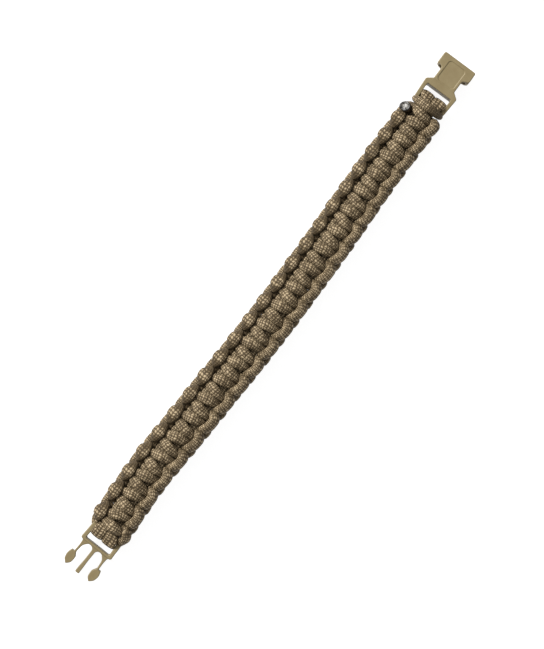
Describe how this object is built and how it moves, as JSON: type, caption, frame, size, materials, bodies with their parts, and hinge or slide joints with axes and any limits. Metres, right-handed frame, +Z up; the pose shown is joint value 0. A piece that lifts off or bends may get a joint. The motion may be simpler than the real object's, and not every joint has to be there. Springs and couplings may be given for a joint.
{
  "type": "paracord bracelet",
  "caption": "Strap of braided cord knotted round a doubled core of the same cord, with the two halves of a plastic side-release buckle at its ends, laid out flat and unclasped.",
  "frame": {"origin": "on the surface that the bracelet lies on, under the middle of its box", "axes": "+X along the strap from the prong half to the socket half, +Y across the strap, +Z up from the surface, out of the front of the weave"},
  "size_m": [0.2457, 0.021, 0.0109],
  "materials": {
    "buckle": "moulded acetal or nylon, fine matt grain",
    "core": "braided nylon cord, flattened where it is wrapped on the bars",
    "cord": "braided nylon cord, soft sheen"
  },
  "bodies": {
    "root": {"prong_buckle": "buckle", "socket_buckle": "buckle", "core_cord": "core", "front_strand": "cord", "back_strand": "cord"}
  },
  "joints": []
}
